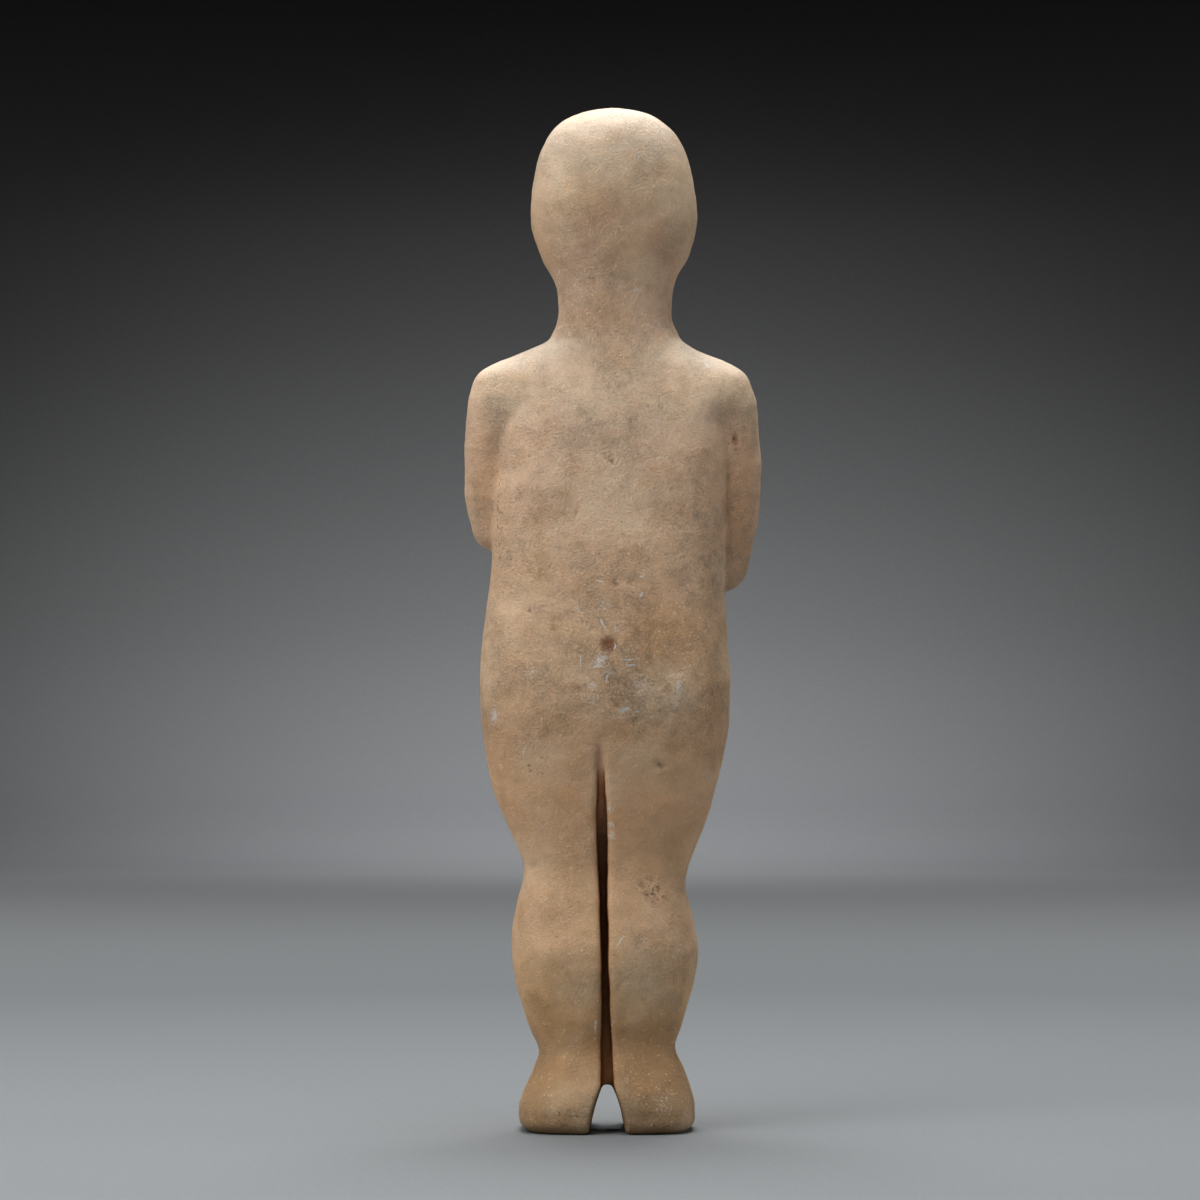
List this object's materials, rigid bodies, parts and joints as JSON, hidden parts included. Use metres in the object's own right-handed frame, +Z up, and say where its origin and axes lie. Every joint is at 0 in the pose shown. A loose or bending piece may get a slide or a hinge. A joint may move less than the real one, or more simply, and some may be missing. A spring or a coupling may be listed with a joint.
{
  "type": "cycladic figurine",
  "caption": "Standing nude figurine carved from one block of aged marble, with folded arms, parted legs and rounded feet that it stands on.",
  "frame": {"origin": "centre of the bounding box on the plane of the soles", "axes": "+Z up from the soles to the crown, -Y the way the figure faces, +X towards the figure's own left arm"},
  "size_m": [0.0727, 0.0439, 0.25],
  "materials": {
    "marble": "coarse white marble weathered tan, worn smooth, with pits, pale scratches and brown soil in the cuts"
  },
  "bodies": {
    "root": {"figurine": "marble"}
  },
  "joints": []
}
